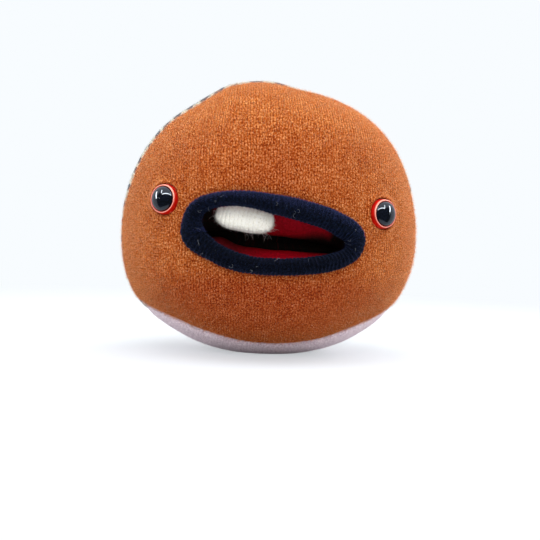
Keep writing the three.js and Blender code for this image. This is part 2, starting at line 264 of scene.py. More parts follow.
def grid_faces(rows, columns, close_rows=False, close_columns=False, start=0):
    """Quads of a grid whose rows run along its first index."""
    i = np.arange(rows if close_rows else rows - 1)[:, None]
    j = np.arange(columns if close_columns else columns - 1)[None, :]
    i2, j2 = (i + 1) % rows, (j + 1) % columns
    quads = joined(i * columns + j, i * columns + j2, i2 * columns + j2, i2 * columns + j)
    return quads.reshape(-1, 4) + start


def fan_faces(ring, hub, flip=False):
    """Triangles from a ring of point numbers to one hub."""
    triangles = joined(ring, np.roll(ring, -1), hub)
    return triangles[:, ::-1] if flip else triangles


def tubes(name, paths, thickness, random, sides=3):
    """Thin tapering tubes along many paths, each with a tone of its own."""
    count, steps = paths.shape[:2]
    heading = unit(np.gradient(paths, axis=1))
    around = unit(np.cross(heading, random.normal(size=(count, 1, 3))))
    over = np.cross(heading, around)
    width = thickness / 2 * np.linspace(1, 0.65, steps)[None, :, None]
    turns = [TURN * side / sides for side in range(sides)]
    rings = [paths + (math.cos(turn) * around + math.sin(turn) * over) * width for turn in turns]
    rings = np.stack(rings, 2)[:, :-1].reshape(count, -1, 3)
    points = np.concatenate([rings, paths[:, -1:]], 1)
    points[..., 2] = np.maximum(points[..., 2], OFF_FLOOR)
    each = points.shape[1]
    base = np.arange(count)[:, None, None] * each
    wall = (base + grid_faces(steps - 1, sides, close_columns=True)).reshape(-1, 4)
    last = (steps - 2) * sides + np.arange(sides)
    tip = (base + fan_faces(last, each - 1)).reshape(-1, 3)
    foot = (base[:, 0] + np.arange(sides)[::-1]).reshape(-1, sides)
    return make_piece(name, points, [wall, tip, foot], tint=np.repeat(random.random(count), each))


def dress(piece, body, slot, material, *nodes):
    """Gives a piece its material and its body, and hides the nodes that it stands for. Its slot is not used.
    """
    piece.data.materials.append(material)
    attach(piece, body)
    if nodes:
        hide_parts(*nodes)


# Nodes of the materials
class Value:
    """A socket that gives a number. Arithmetic with it adds Math nodes to its tree."""

    def __init__(self, socket):
        self.socket = socket

    def __add__(self, other):
        return calc("ADD", self, other)

    def __sub__(self, other):
        return calc("SUBTRACT", self, other)

    def __rsub__(self, other):
        return calc("SUBTRACT", other, self)

    def __mul__(self, other):
        return calc("MULTIPLY", self, other)

    def __truediv__(self, other):
        return calc("DIVIDE", self, other)

    def __pow__(self, power):
        return calc("POWER", self, power)

    def __abs__(self):
        return calc("ABSOLUTE", self)


def node(tree, kind, inputs=(), **settings):
    made = tree.nodes.new("ShaderNode" + kind)
    for name, value in settings.items():
        setattr(made, name, value)
    for name, value in dict(inputs).items():
        value = value.socket if isinstance(value, Value) else value
        if isinstance(value, bpy.types.NodeSocket):
            tree.links.new(value, made.inputs[name])
        else:
            made.inputs[name].default_value = value
    return made


def calc(operation, *values, clamp=False):
    tree = next(v.socket.id_data for v in values if isinstance(v, Value))
    return Value(node(tree, "Math", enumerate(values), operation=operation, use_clamp=clamp).outputs[0])


def split(tree, place):
    return [Value(part) for part in node(tree, "SeparateXYZ", {0: place}).outputs]


def mix(tree, factor, first, second, blend="MIX"):
    inputs = {0: factor, 6: first, 7: second}
    return node(tree, "Mix", inputs, data_type="RGBA", blend_type=blend).outputs[2]


def ramp(tree, factor, stops):
    made = node(tree, "ValToRGB", {0: factor})
    elements = made.color_ramp.elements
    while len(elements) < len(stops):
        elements.new(1)
    for element, (place, colour) in zip(elements, stops):
        element.position = place
        element.color = srgb(*colour)
    return made.outputs[0]


def noise(tree, place, size, detail=2, roughness=0.55):
    inputs = {"Vector": place, "Scale": 1 / size, "Detail": detail, "Roughness": roughness}
    return Value(node(tree, "TexNoise", inputs).outputs[0])


def own_tint(tree):
    return node(tree, "Attribute", attribute_name="tint").outputs["Fac"]


def object_place(tree):
    """Places on an object, in millimetres."""
    place = node(tree, "TexCoord").outputs["Object"]
    return node(tree, "VectorMath", {0: place, "Scale": 1 / MM}, operation="SCALE").outputs[0]


def new_material(name, colour, height=None, relief=0.3, **values):
    """A Principled material. The function colour(tree) gives its colour, and height(tree) its relief."""
    material = bpy.data.materials.new(name)
    material.use_nodes = True
    tree = material.node_tree
    shader = tree.nodes["Principled BSDF"]
    for name, value in values.items():
        shader.inputs[name.replace("_", " ")].default_value = value
    tree.links.new(colour(tree), shader.inputs["Base Color"])
    if height:
        bump = node(tree, "Bump", {"Height": height(tree), "Distance": relief * MM, "Strength": 1})
        tree.links.new(bump.outputs[0], shader.inputs["Normal"])
    return material


def knit_place(tree, warp=0.25, warp_size=2.2):
    """The place along the knit's wales and courses, made a little uneven."""
    place = node(tree, "Attribute", attribute_name="knit").outputs["Vector"]
    uneven = node(tree, "TexNoise", {"Vector": place, "Scale": 1 / warp_size, "Detail": 1})
    moved = node(tree, "VectorMath", {0: uneven.outputs["Color"], 1: (0.5, 0.5, 0.5)}, operation="SUBTRACT")
    scaled = node(tree, "VectorMath", {0: moved.outputs[0], "Scale": 2 * warp}, operation="SCALE")
    return node(tree, "VectorMath", {0: place, 1: scaled.outputs[0]}, operation="ADD").outputs[0]


def stitch_height(tree, place, wale, course, slant=1.1):
    """Stockinette: each wale is a column of V-shaped loops, with a groove on both sides."""
    across, up, _ = split(tree, place)
    aside = abs(calc("FRACT", across / wale) - 0.5)
    along = abs(calc("FRACT", aside * slant + up / course) - 0.5)
    rounded = calc("SUBTRACT", 1, (abs(aside - 0.17) / 0.33) ** 2, clamp=True)
    return rounded * ((1 - (along * 2) ** 3) * 0.55 + 0.45)


def felt(name, stops, gap, wale, course, openness=0.5, heather=1.15, contrast=1, pattern=None, **values):
    """Felted knit: heathered fibres over soft stitches, with the gaps between them showing here and there."""

    def heathered(tree):
        place = knit_place(tree)
        upright = node(tree, "Mapping", {0: place, 3: (1, 0.8, 1)}).outputs[0]
        share = 0.5
        for part, size, detail in ((0.72, heather, 2), (0.62, heather * 0.4, 1), (0.16, heather * 6, 2)):
            share = (noise(tree, upright, size, detail, 0.65) - 0.5) * (part * contrast) + share
        tone = ramp(tree, share, stops)
        if pattern:
            tone = pattern(tree, place, tone)
        low = 1 - stitch_height(tree, place, wale, course)
        low = calc("MULTIPLY", low - 0.35, 1.7, clamp=True)
        elsewhere = node(tree, "Mapping", {0: upright, 1: (310, 170, 0)}).outputs[0]
        wear_and_highlight = noise(tree, elsewhere, heather, 2, 0.6) - (0.6 - openness * 0.3)
        shown = calc("MULTIPLY", wear_and_highlight, 5, clamp=True)
        return mix(tree, calc("MULTIPLY", low, shown, clamp=True), tone, srgb(*gap))

    def relief(tree):
        place = knit_place(tree)
        return stitch_height(tree, place, wale, course) * 0.7 + noise(tree, place, 0.7, 3, 0.65)

    return new_material(name, heathered, relief, **values)


def yarn_fuzz(name, dark, light, through=0.35):
    """Loose fibres, each of its own tone, that let some light through."""
    material = new_material(name, lambda tree: mix(tree, own_tint(tree), srgb(*dark), srgb(*light)),
                            Roughness=0.85, Specular_IOR_Level=0.1)
    tree = material.node_tree
    shader = tree.nodes["Principled BSDF"]
    tone = shader.inputs["Base Color"].links[0].from_socket
    behind = node(tree, "BsdfTranslucent", {"Color": tone})
    both = node(tree, "MixShader", {0: through, 1: shader.outputs[0], 2: behind.outputs[0]})
    tree.links.new(both.outputs[0], tree.nodes["Material Output"].inputs["Surface"])
    return material


# Body form
def body_shape(level_up, lift=0.0):
    """Half the height and the fullness of the body above or below its widest level."""
    tall = np.where(level_up, CROWN - WIDEST, WIDEST + FLATTENING) + lift
    return tall, np.where(level_up, CROWN_FULLNESS, UNDERSIDE_FULLNESS)


def body_point(direction):
    """Where rays from the body's middle meet its surface."""
    tall, fullness = body_shape(direction[..., 2] >= 0)
    across = direction[..., 0] / BODY_HALF_WIDTH
    out = direction[..., 1] / BODY_HALF_DEPTH
    level = np.abs(direction[..., 2]) / tall
    reach = (np.hypot(across, out) ** fullness + level ** fullness) ** (-1 / fullness)
    points = MIDDLE + direction * reach[..., None]
    points[..., 2] = np.maximum(points[..., 2], 0)
    return points


def body_normal(points):
    x, y, z = np.moveaxis(points - MIDDLE, -1, 0)
    tall, fullness = body_shape(z >= 0)
    swell = np.hypot(x / BODY_HALF_WIDTH, y / BODY_HALF_DEPTH) ** (fullness - 2)
    rise = signed_power(z / tall, fullness - 1) / tall
    normal = joined(swell * x / BODY_HALF_WIDTH ** 2, swell * y / BODY_HALF_DEPTH ** 2, rise)
    normal[points[..., 2] < 0.001] = (0, 0, -1)
    return unit(normal)


def face_depth(x, z, lift=0.0):
    tall, fullness = body_shape(z >= WIDEST, lift)
    reach = (1 - (np.abs(z - WIDEST) / tall) ** fullness) ** (1 / fullness)
    return -(BODY_HALF_DEPTH + lift) * np.sqrt(reach ** 2 - (x / (BODY_HALF_WIDTH + lift)) ** 2)


def under_depth(x, y):
    """The height of the body's underside over a place on the floor."""
    tall, fullness = body_shape(np.zeros_like(x, bool))
    reach = np.hypot(x / BODY_HALF_WIDTH, y / BODY_HALF_DEPTH)
    return np.maximum(WIDEST - tall * (1 - reach ** fullness) ** (1 / fullness), 0)


# Mouth outline and lip line
def mouth_outline(half_width, half_tall, angle, drop=0.0):
    along = half_width * signed_power(np.cos(angle), 2 / MOUTH_SQUARENESS)
    blunt = 1 - MOUTH_BLUNTNESS * along / half_width
    up = half_tall * signed_power(np.sin(angle), 2 / MOUTH_SQUARENESS) * blunt - drop
    lift = MOUTH_LEFT_LIFT * smooth(0.1, 0.85, -np.cos(angle)) * smooth(-0.1, 0.6, -np.sin(angle))
    sag = MOUTH_TOP_SAG * smooth(0.1, 0.8, np.sin(angle))
    return along, up + (lift - sag) * np.clip(half_tall / LIP_HALF_TALL, 0, 1)


def mouth_place(along, up):
    x = MOUTH_ASIDE + along * math.cos(MOUTH_TILT) + up * math.sin(MOUTH_TILT)
    z = MOUTH_HEIGHT - along * math.sin(MOUTH_TILT) + up * math.cos(MOUTH_TILT)
    return x, z


def lip_middle(angle):
    x, z = mouth_place(*mouth_outline(LIP_HALF_WIDTH, LIP_HALF_TALL, angle))
    return joined(x, face_depth(x, z, LIP_PROUD), z)


# Seams: the side seam over the crown, and the base panel's two edges
def base_edge(x, reach):
    return SIDE_SEAM + reach * (1 - np.abs(x / BASE_HALF_LENGTH) ** BASE_POINTEDNESS)


def in_base(points):
    x, y, z = np.moveaxis(points, -1, 0)
    inside = (y > base_edge(x, -BASE_FRONT_REACH)) & (y < base_edge(x, BASE_BACK_REACH))
    return inside & (np.abs(x) < BASE_HALF_LENGTH) & (z < WIDEST)


def base_seam(reach, steps=700):
    x = BASE_HALF_LENGTH * np.sin(np.linspace(-math.pi / 2, math.pi / 2, steps))
    y = base_edge(x, reach)
    return joined(x, y, under_depth(x, y))


def seam_plane(points):
    """How far forward the side seam runs at a height, with its wander over the crown."""
    x, z = points[..., 0], points[..., 2]
    bulge = smooth(19, 29, z) * (1 - 0.85 * smooth(64, 84, z))
    crown = smooth(121, 132, z) * (0.32 - 0.72 * smooth(2, 22, x))
    return SIDE_SEAM + SEAM_WANDER * (bulge - crown)


def side_seam(steps=1400):
    tip = base_seam(0, 3)[-1]
    foot = math.atan2(tip[2] - WIDEST, tip[0])
    angle = np.linspace(foot, math.pi - foot, steps)

    def leaning(reach):
        return body_point(unit(joined(np.cos(angle), -reach, np.sin(angle))))

    def behind_seam(reach):
        found = leaning(reach)
        return found[:, 1] > seam_plane(found)

    return leaning(reach_within(1.5, steps, behind_seam))


def nearest_on(lines):
    """A function that gives the distance from points to lines, and how far along them it is."""
    points = np.concatenate(lines)
    along = run_along(points)
    tree = KDTree(len(points))
    for i, point in enumerate(points):
        tree.insert(point, i)
    tree.balance()

    def find(places):
        found = np.array([tree.find(p)[1:] for p in places.reshape(-1, 3)])
        shape = places.shape[:-1]
        return found[:, 1].reshape(shape), along[found[:, 0].astype(int)].reshape(shape)

    return find


def joint_place(name):
    """Where a joint is, and its axis."""
    joint = next(j for j in frame["joints"] if j["name"] == name)
    return np.array(joint["pos_m"]) / MM, np.array(joint["axis"])


SEAMS = [side_seam(), base_seam(-BASE_FRONT_REACH), base_seam(BASE_BACK_REACH)]
LIP_LINE = lip_middle(full_turn(900))
EYES = {"left": joint_place("left_eye_turn"), "right": joint_place("right_eye_turn")}
to_seam = nearest_on(SEAMS)
to_lip = nearest_on([LIP_LINE])


def cover_surface(points):
    """The stuffed cover: lumpy, drawn in at its seams, tucked under the lip and pressed in by the eyes."""
    normal = body_normal(points)
    distance, along = to_seam(points)
    away = np.clip(1 - distance / SEAM_WIDTH, 0, 1)
    ripple = np.sin(TURN * along / PUCKER_PITCH + 2 * lumps(points, 9, 5))
    rise = PUCKER * ripple * np.exp(-distance / 2.6) * (1 - away ** 4) - SEAM_DEPTH * away ** 2
    for height, size, seed in ((0.45, 22, 1), (0.14, 6, 2), (0.05, 1.6, 3)):
        rise += height * lumps(points, size, seed)
    rise -= 0.5 * bell(to_lip(points)[0], 4.6, 1.7)
    for x, z, out, wide in LOBES:
        rise += out * bell(points[..., 0], x, wide) * bell(points[..., 2], z, wide)
    moved = points + normal * (rise * smooth(0.5, 6, points[..., 2]))[..., None]
    for place, axis in EYES.values():
        offset = moved - place
        height = offset @ axis
        radius = np.linalg.norm(offset - height[..., None] * axis, axis=-1)
        facing = normal @ axis > 0.5
        near = (1 - smooth(CUP_BASE_RADIUS - 0.1, CUP_BASE_RADIUS + 0.4, radius)) * facing
        seat = np.minimum(height, CUP_BOTTOM - 0.15)
        raised = np.maximum(CUP_BOTTOM + 1.7 - height, 0) + 0.2
        hug = raised * bell(radius, CUP_BASE_RADIUS + 0.6, 1.7) * facing
        moved += axis * (near * (seat - height) + hug * (1 - near))[..., None]
    moved[..., 2] = np.maximum(moved[..., 2], 0)
    return moved


class Layout:
    """A panel laid out round a pole, in turns about it and angles away from it."""

    def __init__(self, pole, side, up, belongs, radius):
        self.pole, self.side, self.up = (np.array(v, float) for v in (pole, side, up))
        self.belongs, self.radius = belongs, radius

    def on_body(self, away, about):
        ring = np.cos(about)[..., None] * self.side + np.sin(about)[..., None] * self.up
        return body_point(np.cos(away)[..., None] * self.pole + np.sin(away)[..., None] * ring)

    def inner(self, away, about):
        """The same place on the cover's inner face."""
        points = self.on_body(away, about)
        return points - body_normal(points) * COVER

    def edge(self, about):
        """How far from the pole the panel's edge is, in each direction."""
        return reach_within(0.95 * math.pi, about.shape, lambda half: self.belongs(self.on_body(half, about)))

    def polar(self, points):
        """The angle away from the pole and the turn about it, of points seen from the body's middle."""
        direction = unit(points - MIDDLE)
        away = np.arccos(np.clip(direction @ self.pole, -1, 1))
        return away, np.arctan2(direction @ self.up, direction @ self.side)

    def knit(self, away, about):
        """The flat cloth's own coordinates before it was sewn and stuffed."""
        return joined(self.radius * away * np.cos(about), self.radius * away * np.sin(about), 0)


def disc_panel(name, layout, steps):
    """A closed panel without a hole: an even grid outside, and a few rings inside."""
    step = np.linspace(-1, 1, steps)
    a, b = np.meshgrid(step, step)
    wide = np.abs(a) > np.abs(b)
    size, other = np.where(wide, a, b), np.where(wide, b, a)
    slope = np.divide(other, size, out=np.zeros_like(size), where=size != 0) * math.pi / 4
    about = np.where(wide, slope, math.pi / 2 - slope) + np.where(size < 0, math.pi, 0)
    away = np.abs(size) * layout.edge(about.ravel()).reshape(about.shape)
    outer = cover_surface(layout.on_body(away, about))

    number = np.arange(steps * steps).reshape(steps, steps)
    loop = np.concatenate([number[0, :-1], number[:-1, -1], number[-1, :0:-1], number[:0:-1, 0]])
    loop_about, loop_edge = about.ravel()[loop], away.ravel()[loop]
    shares = np.array([1, 0.985, 0.9, 0.72, 0.5, 0.25])[:, None]
    rings = loop_edge * shares, np.broadcast_to(loop_about, (len(shares), len(loop)))
    hub = layout.inner(np.zeros(1), np.zeros(1))
    points = np.concatenate([outer.reshape(-1, 3), layout.inner(*rings).reshape(-1, 3), hub])
    knit = [layout.knit(away, about).reshape(-1, 3), layout.knit(*rings).reshape(-1, 3), np.zeros((1, 3))]

    first, count = steps * steps, len(loop)
    ring = first + np.arange(count)
    wall = joined(loop, np.roll(loop, -1), np.roll(ring, -1), ring)
    inner = grid_faces(len(shares), count, close_columns=True, start=first)
    hub_fan = fan_faces(ring + (len(shares) - 1) * count, len(points) - 1, flip=True)
    faces = [grid_faces(steps, steps), wall[:, ::-1], inner[:, ::-1], hub_fan]
    return make_piece(name, points, faces, np.concatenate(knit)), outer


def ring_panel(name, layout, columns, rows, hole):
    """A closed panel with a hole at its pole: rows run from the hole's edge out, and back inside."""
    about = full_turn(columns)
    edge, hole_edge = layout.edge(about), hole(about)
    back = [1, 0.985, 0.9, 0.7, 0.45, 0.2, 0.05, 0]
    share = np.concatenate([np.linspace(0, 1, rows), back])[:, None]
    away = hole_edge + share * (edge - hole_edge)
    turn = np.broadcast_to(about, away.shape)
    outer = cover_surface(layout.on_body(away[:rows], turn[:rows]))
    points = np.concatenate([outer, layout.inner(away[rows:], turn[rows:])])
    faces = grid_faces(rows + len(back), columns, close_rows=True, close_columns=True)
    # The face's tint is painted shade.
    return make_piece(name, points, [faces[:, ::-1]], layout.knit(away, turn), face_painted_shade(points)), outer


def face_painted_shade(points):
    """Painted shade on the face, with a little random tone: deepest under the mouth, some in the forehead's
    middle, more everywhere below the crown, and least of all at the crown.
    """
    x, z = points[..., 0], points[..., 2]
    under = (1 - smooth(22, 50, z)) * (1 - smooth(36, 74, np.abs(x)))
    middle = bell(x, 0, 40) * bell(z, 84, 22)
    below = 1 - smooth(98, 124, z)
    return np.clip(under + 0.18 * middle + 0.5 * below + 0.08 * lumps(points, 14, 71), 0, 1)


# Loose fibres
def fibres(name, surface, count, length, thickness, seed, closed=False, stand=(0.15, 1), keep=None):
    """Short curved fibres rooted all over a grid of points. Each is a tapering three-sided strand."""
    random = np.random.default_rng(seed)
    faces = grid_faces(*surface.shape[:2], close_columns=closed)
    corner = surface.reshape(-1, 3)[faces]
    one, two = corner[:, 1] - corner[:, 0], corner[:, 3] - corner[:, 0]
    cross = np.cross(one, two)
    area = np.linalg.norm(cross, axis=1)
    if keep is not None:
        area = area * keep(corner.mean(axis=1))
    chosen = random.choice(len(faces), count, p=area / area.sum())
    s, t = random.random((2, count, 1))
    root = corner[chosen, 0] + s * one[chosen] + t * two[chosen]
    normal = unit(cross[chosen])
    outward = np.sign(np.einsum("ij,ij->i", normal, root - surface.reshape(-1, 3).mean(axis=0)))
    return strands(name, root, normal * outward[:, None], length, thickness, random, stand)


def strands(name, root, normal, length, thickness, random, stand):
    count = len(root)
    aside = unit(np.cross(normal, random.normal(size=(count, 3))))
    reach = length * (0.35 + 0.65 * random.random((count, 1)) ** 2)
    lift = stand[0] + (stand[1] - stand[0]) * random.random((count, 1)) ** 1.6
    first = unit(aside + normal * lift)
    bend = unit(np.cross(normal, aside)) * random.normal(size=(count, 1)) * 0.8
    second = unit(first + bend + normal * random.normal(size=(count, 1)) * 0.5)
    middle = root + first * reach * 0.5
    paths = np.stack([root - normal * ROOTED, middle, middle + second * reach * 0.5], 1)
    return tubes(name, paths, thickness, random)


def curls(name, root, normal, length, thickness, random, stand=0.5, turn=3, steps=9, spread=(1, 1, 1)):
    """Longer loose fibres that curl as they go."""
    count = len(root)
    heading = unit(unit(np.cross(normal, random.normal(size=(count, 3)) * spread)) + stand * normal)
    spin = unit(random.normal(size=(count, 3)) + normal) * random.normal(size=(count, 1)) * turn / steps
    step = length * (0.4 + 0.6 * random.random((count, 1))) / steps
    path = [root - normal * ROOTED]
    for _ in range(steps):
        path.append(path[-1] + heading * step)
        heading = unit(heading + np.cross(spin, heading) + 0.12 * random.normal(size=(count, 3)))
    return tubes(name, np.stack(path, 1), thickness, random)


# Materials
def painted_shade_pattern(colour):
    """Painted shade: a pattern that goes over to a dark colour as far as the piece's own tint says."""

    def pattern(tree, place, tone):
        return mix(tree, own_tint(tree), tone, srgb(*colour))

    return pattern


def painted_shade_wool(tree, place, tone):
    """Painted shade: the wool goes over to a redder and deeper tone as far as the piece's own tint says."""
    deeper = mix(tree, 1, tone, (0.6, 0.37, 0.37, 1), "MULTIPLY")
    return mix(tree, own_tint(tree), tone, deeper)


CHARCOAL = (68, 77, 92)
CREAM = (214, 213, 192)
DASH_ROW = 6.4
DASH_PITCH = 18


def dash_pattern(tree, place, tone):
    """Staggered charcoal dashes on cream, each some stitches long."""
    across, up, _ = split(tree, knit_place(tree, 1.6, 7))
    row = up / DASH_ROW
    along = calc("FRACT", across / DASH_PITCH + calc("FLOOR", row) * 0.5)
    dash = calc("LESS_THAN", along, 0.52) * calc("LESS_THAN", calc("FRACT", row), 0.7)
    return mix(tree, 1, mix(tree, dash, srgb(*CREAM), srgb(*CHARCOAL)), tone, "MULTIPLY")


WOOL_STOPS = [(0.26, (104, 24, 2)), (0.38, (156, 60, 13)), (0.50, (196, 97, 28)), (0.62, (222, 133, 60)),
              (0.77, (248, 192, 126))]
# The face's wool darkens by painted shade under the mouth and below the crown, through its tint.
wool = felt("face_wool", WOOL_STOPS, (84, 18, 4), 1.45, 1.3, openness=0.85, heather=0.85, contrast=1.9,
            pattern=painted_shade_wool, relief=0.35, Roughness=0.95, Sheen_Weight=0.6, Sheen_Roughness=0.35,
            Sheen_Tint=srgb(255, 178, 100), Specular_IOR_Level=0.05)
wool_fuzz = yarn_fuzz("face_fuzz", (184, 82, 22), (236, 146, 74))
# Pale loose fibres, paler than the wool: a painted rim light on the real fuzz.
wool_rim_light = yarn_fuzz("face_halo", (248, 182, 128), (255, 224, 184), through=0.55)

PALE_STOPS = [(0.3, (176, 176, 176)), (0.5, (230, 230, 230)), (0.7, (255, 255, 255))]
back_knit = felt("back_knit", PALE_STOPS, (74, 74, 78), 1.5, 1.3, openness=0.2, pattern=dash_pattern,
                 relief=0.4, Roughness=0.95, Sheen_Weight=0.2, Sheen_Roughness=0.45)
back_fuzz = yarn_fuzz("back_fuzz", (120, 124, 130), (232, 230, 214))

BASE_STOPS = [(0.32, (182, 160, 170)), (0.5, (226, 206, 212)), (0.7, (250, 238, 240))]
base_knit = felt("base_knit", BASE_STOPS, (110, 84, 96), 1.3, 1.1, openness=0.2, relief=0.3,
                 Roughness=0.95, Sheen_Weight=0.25, Sheen_Roughness=0.45)
base_fuzz = yarn_fuzz("base_fuzz", (196, 170, 182), (250, 234, 238))
thread_pink = yarn_fuzz("thread_pink", (200, 150, 140), (236, 200, 196))

LIP_STOPS = [(0.32, (1, 3, 8)), (0.5, (5, 9, 20)), (0.72, (18, 28, 52))]
# The lip's lower half goes over to near-black by painted shade, through its tint.
lip_knit = felt("lip_knit", LIP_STOPS, (1, 1, 4), RIB_PITCH, 1.3, openness=0.9, heather=1.2, contrast=1.3,
                pattern=painted_shade_pattern((0, 1, 4)), relief=0.4, Roughness=0.95, Sheen_Weight=0.18,
                Sheen_Roughness=0.35, Sheen_Tint=srgb(120, 145, 215), Specular_IOR_Level=0.05)
lip_fuzz = yarn_fuzz("lip_fuzz", (3, 7, 18), (44, 54, 88))
# Paler fibres on the lip's upper side: a painted highlight where the light falls from above.
lip_bloom = yarn_fuzz("lip_bloom", (28, 36, 74), (84, 94, 156))
lint = yarn_fuzz("pale_lint", (110, 118, 128), (196, 200, 204))

LINING_STOPS = [(0.3, (149, 2, 21)), (0.5, (194, 6, 32)), (0.72, (222, 15, 46))]
# The lining goes over to near-black by painted shade down the throat and at the pocket's ends, through its
# tint.
lining = felt("lining_knit", LINING_STOPS, (104, 1, 12), 0.9, 0.8, openness=0.3, heather=0.8,
              pattern=painted_shade_pattern((26, 22, 20)), relief=0.12, Roughness=0.9, Specular_IOR_Level=0.1)

TOOTH_STOPS = [(0.28, (236, 228, 208)), (0.45, (254, 250, 236)), (0.7, (255, 253, 244))]
tooth_knit = felt("tooth_knit", TOOTH_STOPS, (196, 188, 168), TOOTH_RIB_PITCH, TOOTH_STITCH, openness=0.3,
                  heather=0.8, relief=0.3, Roughness=0.95, Sheen_Weight=0.8, Sheen_Roughness=0.4)
tooth_fuzz = yarn_fuzz("tooth_fuzz", (238, 233, 220), (255, 254, 250))


def mottled(name, deep, pale, wear_and_highlight=None, grain=(3, 2), waves=(2.5, 1), relief=0.004, **values):
    """Two tones in soft spots over a faint relief, with a third where the piece's own tint says."""

    def tone(tree):
        plain = ramp(tree, noise(tree, object_place(tree), *grain), [(0.3, deep), (0.7, pale)])
        return mix(tree, own_tint(tree), plain, srgb(*wear_and_highlight)) if wear_and_highlight else plain

    def height(tree):
        return noise(tree, object_place(tree), *waves)

    return new_material(name, tone, height, relief, **values)


eye_black = mottled("eye_black", (3, 5, 11), (8, 12, 22), Roughness=0.03, Specular_Tint=(0.76, 0.88, 1, 1),
                    Coat_Weight=0.9, Coat_Roughness=0.01, Coat_Tint=(0.86, 0.92, 1, 1))
# The pale salmon is a painted highlight on the cup's rim, where its tint says.
eye_red = mottled("eye_red", (178, 6, 0), (208, 16, 6), wear_and_highlight=(252, 172, 150), Roughness=0.35,
                  Coat_Weight=0.15, Coat_Roughness=0.08, Specular_IOR_Level=0.3)
washer_white = mottled("washer_white", (220, 217, 208), (236, 234, 226), Roughness=0.5)
stuffing = mottled("stuffing", (214, 211, 202), (246, 245, 240), grain=(2, 4), waves=(1.2, 4, 0.7),
                   relief=0.8, Roughness=1)


# Cover
face_layout = Layout((0, -1, 0), (1, 0, 0), (0, 0, 1),
                     lambda p: (p[..., 1] < seam_plane(p)) & ~in_base(p), 66)
back_layout = Layout((0, 1, 0), (-1, 0, 0), (0, 0, 1),
                     lambda p: (p[..., 1] > seam_plane(p)) & ~in_base(p), 66)
base_layout = Layout((0, 0, -1), (1, 0, 0), (0, -1, 0), in_base, 58)


def mouth_hole(about):
    """The face panel's inner edge, hidden under the lip's middle."""
    away, turn = face_layout.polar(LIP_LINE)
    order = np.argsort(turn)
    return np.interp((about + math.pi) % TURN - math.pi, turn[order], away[order], period=TURN)


def off_eyes(places):
    """Which places are clear of both eyes."""
    gaps = [np.linalg.norm(places - place, axis=1) for place, _ in EYES.values()]
    return np.min(gaps, axis=0) > CUP_BASE_RADIUS + 0.1


def rim_light_share(places):
    """More of the outer parts, where the pale fibres paint light on the rims over the real loose fibres."""
    reach = np.hypot(places[:, 0] / BODY_HALF_WIDTH, (places[:, 2] - WIDEST) / (CROWN - WIDEST))
    return off_eyes(places) * (0.04 + 0.96 * smooth(0.55, 0.98, reach))


def build_cover():
    face, face_grid = ring_panel("face_cover", face_layout, 760, 112, mouth_hole)
    back, back_grid = disc_panel("back_cover", back_layout, 250)
    base, base_grid = disc_panel("base_cover", base_layout, 170)
    for cover, slot, material, panel in ((face, "face_wool", wool, "face_panel"),
                                         (back, "back_knit", back_knit, "back_panel"),
                                         (base, "base_knit", base_knit, "base_panel")):
        dress(cover, "monster", slot, material, panel)
    for number, (left, right) in enumerate(((-1000, -24), (-24, 24), (24, 1000))):
        def in_band(places, left=left, right=right):
            return off_eyes(places) & (places[:, 0] > left) & (places[:, 0] <= right)

        front = fibres(f"face_fuzz_{number + 1}", face_grid, 19000, 1.35, 0.055, 11 + number,
                       closed=True, keep=in_band)
        dress(front, "monster", "face_wool", wool_fuzz)
    for number in range(3):
        # Pale fibres mostly on the outer parts, as a painted rim light.
        halo = fibres(f"face_halo_{number + 1}", face_grid, 18000, 2.3, 0.05, 81 + number,
                      closed=True, stand=(0.7, 2.2), keep=rim_light_share)
        dress(halo, "monster", "face_wool", wool_rim_light)
    dress(fibres("back_fuzz", back_grid, 19000, 1.7, 0.06, 15), "monster", "back_knit", back_fuzz)
    dress(fibres("base_fuzz", base_grid, 9000, 1.6, 0.055, 16), "monster", "base_knit", base_fuzz)


def build_seam_threads():
    """Slanting stitches over the seams, and loose pale fibres that work out of them."""
    random = np.random.default_rng(17)
    threads = (("side_seam_thread", 3.6), ("front_seam_thread", 3.2), ("back_seam_thread", 3.2))
    for (name, pitch), line in zip(threads, SEAMS):
        run = run_along(line)
        place = np.arange(2 * pitch, run[-1] - 2 * pitch, pitch)
        place = place + 0.25 * pitch * random.normal(size=len(place))
        middle, ahead = (np.stack([np.interp(far, run, column) for column in line.T], -1)
                         for far in (place, place + 1))
        forward = unit(ahead - middle)
        normal = body_normal(middle)
        across = np.cross(normal, forward)
        path = []
        for share, sink in ((-1, 0.35), (-0.6, 0.25), (0, 0.6), (0.6, 0.25), (1, 0.35)):
            point = middle + (across * 1.9 + forward * 0.8) * share
            path.append(cover_surface(body_point(unit(point - MIDDLE))) - normal * sink)
        level = (path[0] + path[-1]) / 2
        path[2] = level + (path[2] - level) * 0.25
        path[1], path[3] = ((path[end] + path[2]) / 2 + normal * 0.3 for end in (0, 4))
        thread = tubes(name, np.stack(path, 1), 0.34, random, sides=6)
        dress(thread, "monster", "base_knit", thread_pink)
    line = SEAMS[1]
    share = np.concatenate([random.random(260), 0.16 * random.random(160)])
    root = line[(share * (len(line) - 1)).astype(int)]
    normal = body_normal(root)
    stray = curls("seam_strays", cover_surface(root) + normal * 0.8, normal, 3.2, 0.07, random, stand=0.4)
    dress(stray, "monster", "base_knit", base_fuzz)


def strew(make, name, look, grid, normal, chosen, *form, **manner):
    """Fibres rooted at chosen points of a grid, and dressed."""
    dress(make(name, grid.reshape(-1, 3)[chosen], normal.reshape(-1, 3)[chosen], *form, **manner), *look)


